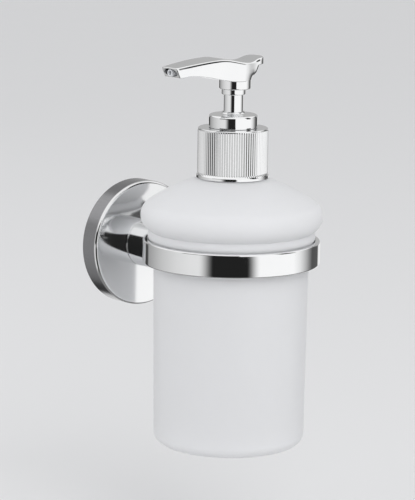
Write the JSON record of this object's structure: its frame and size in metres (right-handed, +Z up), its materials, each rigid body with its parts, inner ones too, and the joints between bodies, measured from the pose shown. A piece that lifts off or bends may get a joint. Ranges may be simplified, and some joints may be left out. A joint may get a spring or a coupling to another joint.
{
  "type": "wall mounted soap dispenser",
  "caption": "Wall mounted soap dispenser: a frosted glass bottle stands in a chrome ring on a round rosette and arm, with a screw-on lotion pump.",
  "frame": {"origin": "centre of the rosette's back, on the wall", "axes": "+Z up, +Y into the wall, so the dispenser stands out towards -Y; the spout points to -X at rest"},
  "size_m": [0.078, 0.106, 0.1676],
  "materials": {
    "wall_bracket": "zinc plated die casting",
    "rosette": "polished chrome",
    "grub_screw": "plain stainless steel",
    "arm_bolt": "plain stainless steel",
    "arm": "polished chrome",
    "ring_stud": "plain stainless steel",
    "holder_ring": "polished chrome",
    "ring_liner": "smooth natural plastic",
    "bottle": "satin frosted glass",
    "neck_gasket": "soft black rubber",
    "closure": "smooth white plastic",
    "collar_shell": "bright chrome with fine upright ribs",
    "cap": "polished chrome",
    "stem_guide": "smooth white plastic",
    "pump_housing": "natural plastic",
    "inlet_ball": "polished stainless steel",
    "return_spring": "drawn stainless wire",
    "dip_tube": "natural plastic",
    "piston": "soft natural plastic",
    "piston_rod": "smooth white plastic",
    "stem_sleeve": "polished chrome",
    "stem_ring": "polished chrome",
    "outlet_ball": "polished stainless steel",
    "outlet_insert": "smooth pale plastic",
    "pump_head": "polished chrome"
  },
  "bodies": {
    "holder": {"wall_bracket": "wall_bracket", "rosette": "rosette", "grub_screw": "grub_screw", "arm_bolt": "arm_bolt", "arm": "arm", "ring_stud": "ring_stud", "holder_ring": "holder_ring", "ring_liner": "ring_liner"},
    "bottle": {"bottle": "bottle"},
    "gasket": {"neck_gasket": "neck_gasket"},
    "pump": {"stem_guide": "stem_guide", "pump_housing": "pump_housing", "return_spring": "return_spring", "dip_tube": "dip_tube", "cap": "cap"},
    "collar": {"closure": "closure", "collar_shell": "collar_shell"},
    "inlet_valve": {"inlet_ball": "inlet_ball"},
    "plunger": {"piston": "piston"},
    "head": {"piston_rod": "piston_rod", "stem_sleeve": "stem_sleeve", "stem_ring": "stem_ring", "outlet_insert": "outlet_insert", "pump_head": "pump_head"},
    "outlet_valve": {"outlet_ball": "outlet_ball"}
  },
  "joints": [
    {"name": "bottle_lift", "type": "slide", "parent": "holder", "child": "bottle", "axis": [0, 0, 1], "range_m": [0, 0.09]},
    {"name": "pump_lift", "type": "slide", "parent": "bottle", "child": "gasket", "axis": [0, 0, 1], "range_m": [0, 0.126]},
    {"name": "thread_rise", "type": "slide", "parent": "gasket", "child": "pump", "axis": [0, 0, 1], "range_m": [0, 0.004]},
    {"name": "collar_turn", "type": "hinge", "parent": "pump", "child": "collar", "pos_m": [0, -0.067, 0], "axis": [0, 0, 1], "range_deg": [0, 451]},
    {"name": "pump_stroke", "type": "slide", "parent": "pump", "child": "plunger", "axis": [0, 0, -1], "range_m": [0, 0.007], "stiffness_N_per_m": 300, "springref_m": -0.008, "deforming": ["return_spring"]},
    {"name": "head_swivel", "type": "hinge", "parent": "plunger", "child": "head", "pos_m": [0, -0.067, 0], "axis": [0, 0, 1], "continuous": true},
    {"name": "inlet_valve_lift", "type": "slide", "parent": "pump", "child": "inlet_valve", "axis": [0, 0, 1], "range_m": [0, 0.0015]},
    {"name": "outlet_valve_lift", "type": "slide", "parent": "head", "child": "outlet_valve", "axis": [0, 0, 1], "range_m": [0, 0.0012]}
  ],
  "couplings": [
    {"joint": "collar_turn", "follows": "thread_rise", "rad_per_m": 1963.5}
  ]
}
